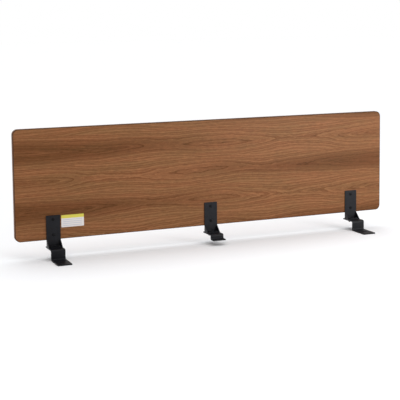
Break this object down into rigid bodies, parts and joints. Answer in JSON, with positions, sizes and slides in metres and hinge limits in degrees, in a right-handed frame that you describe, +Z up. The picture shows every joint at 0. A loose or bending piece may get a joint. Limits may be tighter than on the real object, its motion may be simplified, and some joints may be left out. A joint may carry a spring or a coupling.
{
  "type": "desk privacy panel",
  "caption": "Veneered board with rounded corners on stepped steel brackets, whose slotted feet screw to a desk and hold the board upright behind its edge.",
  "frame": {"origin": "midway between the two outer feet's slots, on the feet's top face, which bears on the desk", "axes": "+X along the board, +Y from the desk towards the board's far face, +Z up; the brackets are on the -Y side of the board"},
  "size_m": [1.5, 0.166, 0.464],
  "materials": {
    "particleboard": "raw pressed chips",
    "walnut_veneer": "flat-cut walnut, clear satin lacquer",
    "walnut_edge": "walnut edge band, clear satin lacquer",
    "label_paper": "blank white label with a yellow band",
    "black_powder_coat": "fine-textured satin black powder coat on steel",
    "black_oxide_steel": "black oxide, slightly oily satin",
    "insert_brass": "plain turned brass"
  },
  "bodies": {
    "root": {"panel_core": "particleboard", "front_veneer": "walnut_veneer", "rear_veneer": "walnut_veneer", "edge_band": "walnut_edge", "blank_label": "label_paper", "left_panel_bracket": "black_powder_coat", "left_desk_bracket": "black_powder_coat", "left_panel_screws": "black_oxide_steel", "left_threaded_inserts": "insert_brass", "left_joint_bolts": "black_oxide_steel", "left_joint_nuts": "black_oxide_steel", "centre_panel_bracket": "black_powder_coat", "centre_desk_bracket": "black_powder_coat", "centre_panel_screws": "black_oxide_steel", "centre_threaded_inserts": "insert_brass", "centre_joint_bolts": "black_oxide_steel", "centre_joint_nuts": "black_oxide_steel", "right_panel_bracket": "black_powder_coat", "right_desk_bracket": "black_powder_coat", "right_panel_screws": "black_oxide_steel", "right_threaded_inserts": "insert_brass", "right_joint_bolts": "black_oxide_steel", "right_joint_nuts": "black_oxide_steel"}
  },
  "joints": []
}
